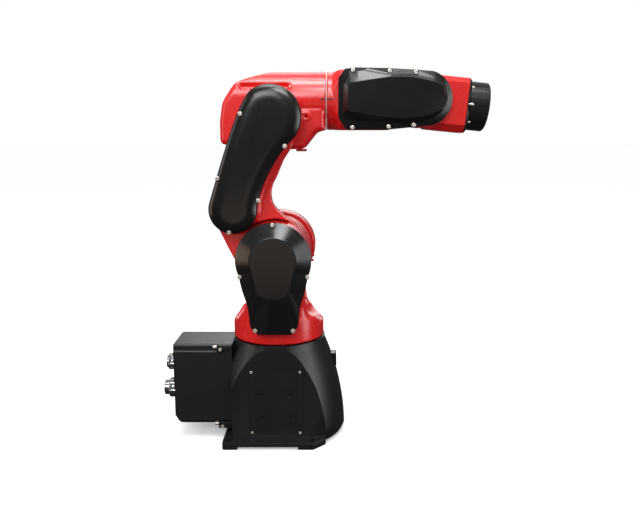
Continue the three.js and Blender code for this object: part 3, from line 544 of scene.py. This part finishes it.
def cast(node, body, voxel=1.6, ease=3, fillet=26, rounds=(), look="red_paint", melt=24,
         soften=None, spaces=()):
    """A cast piece made from its CAD node: facets go back to true rounds, outer edges are eased, and
    inner corners fill out to soft fillets as they do in a mould.

    Each round is (axis, centre, radius or function of height, low, high) in millimetres. Soften is a
    test of the points that says, from 0 to 1, where the form flows with no edges at all. Spaces, given
    like rounds, are swept by the neighbouring part and stay empty."""
    source = frame["nodes"][node]
    obj = link(bpy.data.objects.new(node + "_cast", source.data.copy()))
    remesh = obj.modifiers.new("voxels", "REMESH")
    remesh.mode = "VOXEL"
    remesh.voxel_size = voxel * MM
    baked(obj)
    mesh = obj.data
    count = len(mesh.vertices)
    points = np.empty(count * 3)
    mesh.vertices.foreach_get("co", points)
    points = points.reshape(-1, 3) / MM
    edges = np.empty(len(mesh.edges) * 2, dtype=np.int64)
    mesh.edges.foreach_get("vertices", edges)
    edges = edges.reshape(-1, 2)
    degree = np.bincount(edges.ravel(), minlength=count).astype(float)
    normals = np.empty(count * 3)
    mesh.vertices.foreach_get("normal", normals)
    normals = normals.reshape(-1, 3)

    snap(points, rounds)
    for _ in range(ease):
        points += 0.5 * (neighbours_mean(points, edges, degree) - points)
    sharp = sharpness(normals, edges, count)
    for _ in range(melt):
        for push in MELT_PUSHES:
            points += (push * (1.0 - sharp))[:, None] * (neighbours_mean(points, edges, degree) - points)
    hollow = ((neighbours_mean(points, edges, degree) - points) * normals).sum(axis=1)
    soft = (hollow > 0.05 * voxel).astype(float)
    for _ in range(4):
        spread = np.maximum(soft, 0)
        np.maximum.at(spread, edges[:, 0], soft[edges[:, 1]] * 0.86)
        np.maximum.at(spread, edges[:, 1], soft[edges[:, 0]] * 0.86)
        soft = spread
    for _ in range(fillet):
        points += (0.6 * soft)[:, None] * (neighbours_mean(points, edges, degree) - points)
    if soften:
        loose = np.clip(soften(points), 0.0, 1.0)[:, None]
        for _ in range(SOFTEN_ROUNDS):
            points += 0.6 * loose * (neighbours_mean(points, edges, degree) - points)
    snap(points, rounds, 0.5)
    for _ in range(2):
        points += 0.5 * (neighbours_mean(points, edges, degree) - points)
    clear(points, spaces)
    mesh.vertices.foreach_set("co", (points * MM).ravel())
    mesh.update()
    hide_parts(node)
    return finish_piece(obj, look, body, smooth=0)


def snap(points, rounds, reach=0.7):
    """Moves points that lie close to a round surface onto it."""
    for axis, centre, radius, low, high in rounds:
        along = points[:, axis]
        across = [k for k in (0, 1, 2) if k != axis]
        flat = points[:, across] - np.array(centre)
        distance = np.linalg.norm(flat, axis=1)
        target = radius(along, flat) if callable(radius) else np.full(len(points), float(radius))
        near = (np.abs(distance - target) < reach) & (along > low) & (along < high) & (distance > 1)
        factor = (target[near] / distance[near])[:, None]
        points[np.ix_(near, across)] = np.array(centre) + flat[near] * factor


def clear(points, spaces):
    """Moves points that stray into a round space out to its edge."""
    for axis, centre, radius, low, high in spaces:
        along = points[:, axis]
        across = [k for k in (0, 1, 2) if k != axis]
        flat = points[:, across] - np.array(centre)
        distance = np.linalg.norm(flat, axis=1)
        inside = (distance < radius) & (distance > 1) & (along > low) & (along < high)
        factor = (radius / distance[inside])[:, None]
        points[np.ix_(inside, across)] = np.array(centre) + flat[inside] * factor


X, Y, Z = 0, 1, 2
cast("turret_casting", "turret", voxel=1.5, ease=2, fillet=50, rounds=[
    (Z, (0, 0), 78, 172, 197),
    (Y, (-1.5, 317), 60, -90, -48),
    (Y, SHOULDER, 63, 66, 92),
], soften=lambda p: np.minimum((p[:, 2] - 197.5) / 5, (np.abs(p[:, 0]) - 39) / 6) * (p[:, 2] < 268))
cast("upper_arm_casting", "upper_arm", voxel=1.5, ease=2, fillet=40,
     rounds=[(Y, SHOULDER, 57, -46.5, 55)], spaces=[(Y, SHOULDER, 62.2, -62, -47.3)])
cast("elbow_casting", "elbow", voxel=1.3, ease=2, fillet=24, rounds=[
    (X, (0, FOREARM_AXIS), 48, 26, 83),
    (Y, ELBOW, 47, -47, 0),
], soften=lambda p: np.minimum((p[:, 2] - 597.5) / 3, (60 - p[:, 0]) / 8) * (p[:, 1] < 40))
cast("forearm_casting", "forearm", voxel=1.3, ease=2, fillet=16, rounds=[
    (X, (0, FOREARM_AXIS), 48, 83, 94),
    (Y, (239, 571), 43, -50, 50),
])


# ---------------------------------------------------------------- shoulder cover
COVER_X = -1.5
NECK = [(50.8, 269.5), (45.7, 253), (42.2, 240), (40.4, 226), (39.3, 214), (37.6, 206.3)]
FLAT_LEFT = [(-32.5, 287), (-30.5, 278), (-29, 271), (-28, 267), (-26, 263), (-20, 259)]
FLAT_RIGHT = [(16.5, 259), (22, 263), (24, 267), (25, 271), (26.5, 278), (28.5, 287)]


def shoulder_rim(radius, x=COVER_X):
    """The shoulder cover's outer outline: a round head, a neck that narrows, and a square foot."""
    head = arc((x, SHOULDER[1]), radius, -24, 204, 72)
    left = curve([head[-1], *[(x - half, z) for half, z in NECK]], 5)[1:]
    right = curve([*[(x + half, z) for half, z in reversed(NECK)], head[0]], 5)[:-1]
    return [*head, *left, (x - 27, 195), *straight((x - 27, 195), (x + 27, 195), 6), (x + 27, 195), *right]


def shoulder_flat():
    """The outline of the flat in front, with as many points as the rim has."""
    head = arc((-1.8, 318), 37.4, -24, 204, 72)
    left = curve([head[-1], *FLAT_LEFT], 5)[1:]
    right = curve([*FLAT_RIGHT, head[0]], 5)[:-1]
    return [*head, *left, (-8, 255.5), *straight((-8, 255.5), (4.5, 255.5), 6), (4.5, 255.5), *right]


def make_shoulder_cover():
    rim = shoulder_rim(61)
    flat = shoulder_flat()
    places = [(-2, 374), (-55.5, 291), (53, 290.5), (-32.3, 202), (29, 202)]
    heads = [(x, -92.5, z) for x, z in places]
    sections = [
        (rim, -90.3), (rim, -94.3),
        (between(rim, flat, 0.97), -107.6), (between(rim, flat, 1.04), -108),
    ]
    cutter = pockets([(x, -92.4, z) for x, _, z in heads], (0, -1, 0), 5.0, 20)
    cover = shell("shoulder_cover_shell", sections, [cutter], bevel=0.7, angle=24)
    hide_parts("shoulder_cover")
    finish_piece(cover, "black_cover", "turret", smooth=35, level=True)
    screws("shoulder_cover_screws", heads, (0, -1, 0), "turret")


make_shoulder_cover()


# ---------------------------------------------------------------- upper arm cover
DOME_STEPS = 14
DOME_WIDTH = 22.4
DOME_RISE = 8.55


def arm_outline():
    """Round head at the elbow, a bend in the middle, and a smaller round foot."""
    return [
        *arc(ELBOW, 49, -48, 122, 60),
        *bend((-30, 583.6), (-48.7, 572.9), (-70.7, 505), (-100.7, 409.6), 34),
        *arc((-64, 398), 38.5, 162, 364, 48),
        *bend((-25.6, 400.7), (-22.7, 430.9), (7.1, 486.1), (28.8, 505.6), 30),
    ]


def make_upper_arm_cover():
    outline = arm_outline()
    heads = [(-49, -91, 546), (-86.5, -91, 447.5), (18.7, -91, 497), (-23.7, -91, 413), (-70.5, -91, 362.3)]
    sections = [(outline, -88.3), (outline, -91.3), (offset(outline, -0.6), -91.9)]
    for step in range(1, DOME_STEPS + 1):
        turn = math.radians(90.0 * step / DOME_STEPS)
        inset = -0.6 - DOME_WIDTH * (1 - math.cos(turn))
        sections.append((offset(outline, inset), -91.9 - DOME_RISE * math.sin(turn)))
    sections.append((offset(outline, -1.8 - DOME_WIDTH), -91.91 - DOME_RISE))
    cutter = pockets([(x, -90.8, z) for x, _, z in heads], (0, -1, 0), 4.9, 20)
    cover = shell("upper_arm_cover_shell", sections, [cutter])
    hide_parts("upper_arm_cover")
    finish_piece(cover, "black_cover", "upper_arm", smooth=38, level=True)
    screws("upper_arm_cover_screws", heads, (0, -1, 0), "upper_arm")


make_upper_arm_cover()


# ---------------------------------------------------------------- forearm covers
FOREARM_RIM = [
    (102, 602), (102, 541), (115, 522.5), (184, 522.5), (205, 524.5), (226, 526.5),
    *arc((239, 571), 44, -70, 72, 16),
    (228, 615), (214, 615.8), (182, 617.5), (130, 618.5), (112, 616.5),
]
FOREARM_PANEL = [
    (117, 590), (117, 554), (123, 550.5), (172, 542.5), (190, 540.6), (205, 539.5),
    (215, 540.2), (223, 541.2), (231, 542.4), (240, 544), (247, 546), (253, 548), (258, 550), (262, 552),
    (265, 555), (267.5, 558.5), (268.3, 564), (268.5, 571), (268.3, 577), (267.5, 583), (266, 587),
    (263, 590.5), (252, 595.5), (238, 599.5), (214, 603.5), (182, 603.5), (132, 596), (122, 595),
]
RIDGE_UPPER = [(230, 608.6), (213, 608.5), (187, 608.3), (148, 616.6), (120, 614)]
RIDGE_LOWER = [(226, 605.4), (213, 605.6), (184, 605.2), (137, 612.6), (119, 612)]


def forearm_ridge(part, ridge):
    """The outline between rim and panel that carries one edge of the narrow facet along the top."""
    return [*between(FOREARM_RIM, FOREARM_PANEL, part)[:-len(ridge)], *ridge]


def make_forearm_cover(name, side, body="forearm"):
    """Faceted cover with a raised panel; side is -1 for the near one and 1 for its mirror image."""
    panel = FOREARM_PANEL
    sections = [
        (FOREARM_RIM, 50.3), (FOREARM_RIM, 52.4), (forearm_ridge(0.52, RIDGE_UPPER), 56.0),
        (forearm_ridge(0.70, RIDGE_LOWER), 58.8), (offset(panel, 0.9), 61.4), (panel, 62.2),
    ]
    sections = [(outline, y * side) for outline, y in sections]
    heads = [(125, 614), (182.5, 613), (223.5, 611), (124.5, 525.5), (182, 527), (222, 529.5)]
    heads = [(x, 52.8 * side, z) for x, z in heads]
    out = (0, side, 0)
    cutter = pockets([(x, 52.0 * side, z) for x, _, z in heads], out, 4.7, 14)
    cover = shell(name + "_shell", sections, [cutter], bevel=0.35, angle=14)
    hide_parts(name)
    finish_piece(cover, "black_cover", body, smooth=35, level=True)
    screws(name + "_screws", heads, out, body, radius=3.3, height=3.6)


make_forearm_cover("forearm_cover_near", -1)
make_forearm_cover("forearm_cover_far", 1)


# ---------------------------------------------------------------- connectors
CONNECTOR_WALL = -176.6
KNURL_DEPTH = 0.022
PIN_COUNT = 6


def knurled(profile, ridges, bands):
    """A turned part along -X whose radius ripples between the heights given by the bands."""
    points, faces = lathe_mesh(profile, ridges * 4)
    rippled = []
    for x, y, z in points:
        deep = any(low <= z <= high for low, high in bands)
        wave = 1.0 + (KNURL_DEPTH * math.cos(ridges * math.atan2(y, x)) if deep else 0.0)
        rippled.append((x * wave, y * wave, z))
    return rippled, faces


def make_connector(name, height, flange, grip, bore, length, ridges):
    """Flange nut, coupling ring with a ribbed grip, and a socket with pins; it points backwards."""
    profile = [
        (0, -8), (bore - 1.5, -8), (bore - 1.5, 0.2), (flange, 0.2), (flange, 2.6), (flange - 0.8, 3.4),
        (grip - 3.2, 3.6), (grip - 3.2, 6.2), (grip - 0.9, 6.6), (grip, 7.4), (grip, 10.4),
        (grip - 1.0, 10.9), (grip - 1.0, 11.9), (grip, 12.4), (grip, 17.6), (grip - 0.7, 18.6),
        (bore + 1.6, 19.2),
        (bore + 1.6, length - 1.6), (bore + 0.9, length - 0.6), (bore - 0.4, length - 0.6),
        (bore - 0.9, length - 1.4), (bore - 1.2, length - 9.0), (0, length - 9.0),
    ]
    points, faces = knurled(profile, ridges, [(7.4, 10.4), (12.4, 17.6)])
    body = gather(name + "_body", [(placed(points, (CONNECTOR_WALL, 0, height), (-1, 0, 0)), faces)])
    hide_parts(name, name + "_ring")
    finish_piece(body, "chrome", "base", smooth=32)
    pin, pin_faces = lathe_mesh([(0, 0), (1.1, 0), (1.1, 6.0), (0.5, 6.8), (0, 6.8)], 12)
    parts = []
    for i in range(PIN_COUNT):
        angle = math.radians(360 / PIN_COUNT * i)
        back = CONNECTOR_WALL - length + 9.2
        at = (back, bore * 0.5 * math.cos(angle), height + bore * 0.5 * math.sin(angle))
        parts.append((placed(pin, at, (-1, 0, 0)), pin_faces))
    finish_piece(gather(name + "_pins", parts), "aluminium", "base", smooth=35)


make_connector("power_connector", 70, 18.6, 17.0, 11.5, 28.0, 30)
make_connector("signal_connector", 118, 15.2, 14.0, 9.5, 22.4, 26)


# ---------------------------------------------------------------- small parts
BOX_FACES = [(0, 2, 3, 1), (4, 5, 7, 6), (0, 1, 5, 4), (2, 6, 7, 3), (0, 4, 6, 2), (1, 3, 7, 5)]
SIDE_FACE = 79.4
PANEL_CORNERS = [(-42, 126), (39, 126), (-42, 19.5), (39, 19)]
BOX_LUGS = [
    ("top", (-102.0, -77.0), (-55.6, -47.0), (153.0, 165.0)),
    ("foot", (-102.0, -77.0), (-55.0, -44.0), (16.5, 28.0)),
]
COLLAR_SEATS = 8
COLLAR_FACE = 75.4
COLLAR_PITCH_RADIUS = 38.6
TICK_COUNT = 6
TICK_PITCH = 3.6


def solid_box(name, x, y, z, look, body, bevel=0.3):
    """A small block between limits in millimetres."""
    points = [(a, b, c) for c in z for b in y for a in x]
    obj = from_points(name, points, BOX_FACES)
    if bevel:
        add_bevel(obj, bevel, 2)
        baked(obj)
    return finish_piece(obj, look, body, smooth=30)


def make_base_screws():
    """Screws of the side panels, and the lugs and screws at the connector box's near corners."""
    for name, way in (("near", -1), ("far", 1)):
        places = [(x, way * (SIDE_FACE + 0.05), z) for x, z in PANEL_CORNERS]
        screws(f"side_panel_{name}_screws", places, (0, way, 0), "base", radius=2.3, height=0.9)
    for name, x, y, z in BOX_LUGS:
        solid_box("box_lug_" + name, x, y, z, "black_paint", "base", bevel=0.6)
    caps = [(-102.2, -52.6, 161.2), (-102.2, -51.6, 24.0)]
    screws("box_cap_screws", caps, (-1, 0, 0), "base", radius=3.1, height=6.6)
    sides = [(-96.0, -55.4, 158.0), (-95.5, -54.8, 20.2)]
    screws("box_side_screws", sides, (0, -1, 0), "base", radius=2.9, height=3.6)


def make_wrist_details():
    """Screws round the collar and a row of fine marks on the wrist's near side, square to the tool axis."""
    seats = []
    tilt = Matrix.Rotation(TOOL_PITCH, 3, "Y")
    middle = Vector((WRIST_AXIS[0], 0, WRIST_AXIS[1]))
    for i in range(COLLAR_SEATS):
        angle = math.radians(360 / COLLAR_SEATS * i)
        across, up = COLLAR_PITCH_RADIUS * math.cos(angle), COLLAR_PITCH_RADIUS * math.sin(angle)
        seats.append(tuple(middle + tilt @ Vector((COLLAR_FACE, across, up))))
    screws("wrist_collar_screws", seats, tilt @ Vector((1, 0, 0)), "wrist", radius=2.7, height=5.6)
    for i in range(TICK_COUNT):
        low = -13.5 + TICK_PITCH * i
        corners = [(62.0 + a, b, low + c) for c in (0, 0.5) for b in (-41.12, -40.8) for a in (0, 2.4)]
        tick = from_points(f"wrist_tick_{i}", [tuple(middle + tilt @ Vector(p)) for p in corners], BOX_FACES)
        finish_piece(tick, "mark", "wrist", smooth=30)


def make_joint_marks():
    """The mark across the open forearm joint, the pale ring in it, and the stops on the far cheek."""
    for body, along in (("elbow", (73.5, 81.9)), ("forearm", (84.1, 93.0))):
        solid_box("zero_mark_" + body, along, (-48.5, -47.4), (569.3, 571.0), "mark", body, 0)
    solid_box("ring_stop_upper", (56.0, 61.4), (66, 72), (295.4, 299.4), "red_paint", "turret", bevel=0.5)
    solid_box("ring_stop_lower", (53.0, 60.0), (66, 72), (286.2, 290.0), "red_paint", "turret", bevel=0.5)
    seal, faces = lathe_mesh([(35.0, 0), (47.3, 0), (47.3, 1.0), (35.0, 1.0), (35.0, 0)], 96)
    ring = gather("forearm_seal", [(placed(seal, (82.5, 0, FOREARM_AXIS), (1, 0, 0)), faces)])
    finish_piece(ring, "seal", "elbow", smooth=30)


make_base_screws()
screws("elbow_slot_screw", [(25.2, -41.6, 590.0)], (-1, 0, 0), "elbow", radius=1.8, height=1.4)
make_wrist_details()
make_joint_marks()


# ---------------------------------------------------------------- base
def eased(node, body, look, width, smooth):
    """A piece made from its CAD node: edges eased, and its curved faces shaded as one surface."""
    obj = link(bpy.data.objects.new(node + "_eased", frame["nodes"][node].data.copy()))
    weld = obj.modifiers.new("weld", "WELD")
    weld.merge_threshold = 0.01 * MM
    flat = obj.modifiers.new("flat", "DECIMATE")
    flat.decimate_type = "DISSOLVE"
    flat.angle_limit = math.radians(0.6)
    add_bevel(obj, width, 3, 30)
    baked(obj)
    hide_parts(node)
    return finish_piece(obj, look, body, smooth=smooth)


eased("base_casting", "base", "black_paint", 0.8, 21)


# ---------------------------------------------------------------- CAD nodes that keep their shape
CRISP = {
    "wrist_casting": (1.3, "red_paint"),
    "far_shoulder_cover": (1.0, "black_cover"),
    "side_panel_near": (0.35, "black_paint"),
    "side_panel_far": (0.35, "black_paint"),
    "connector_box": (1.2, "black_paint"),
    "connector_plate": (0.5, "black_paint"),
    "front_port": (0.6, "black_cover"),
    "elbow_far_cover": (0.6, "black_cover"),
    "elbow_stop_block": (0.8, "red_paint"),
    "wrist_end_plate": (0.8, "black_cover"),
    "wrist_collar": (0.5, "black_cover"),
    "tool_flange": (0.3, "aluminium"),
}


def dress_nodes():
    """Every CAD node that still shows gets its material; the plain outer ones get eased edges."""
    slots = {row["node"]: row["material_slot"] for row in frame["record"]["subparts"]}
    for name, obj in frame["nodes"].items():
        width, look = CRISP.get(name, (0.0, slots[name]))
        obj.data.materials.clear()
        obj.data.materials.append(LOOKS[look])
        if width:
            flat = obj.modifiers.new("flat", "DECIMATE")
            flat.decimate_type = "DISSOLVE"
            flat.angle_limit = math.radians(1.0)
            add_bevel(obj, width, 3, 30)
            normals = obj.modifiers.new("normals", "WEIGHTED_NORMAL")
            normals.keep_sharp = True


dress_nodes()
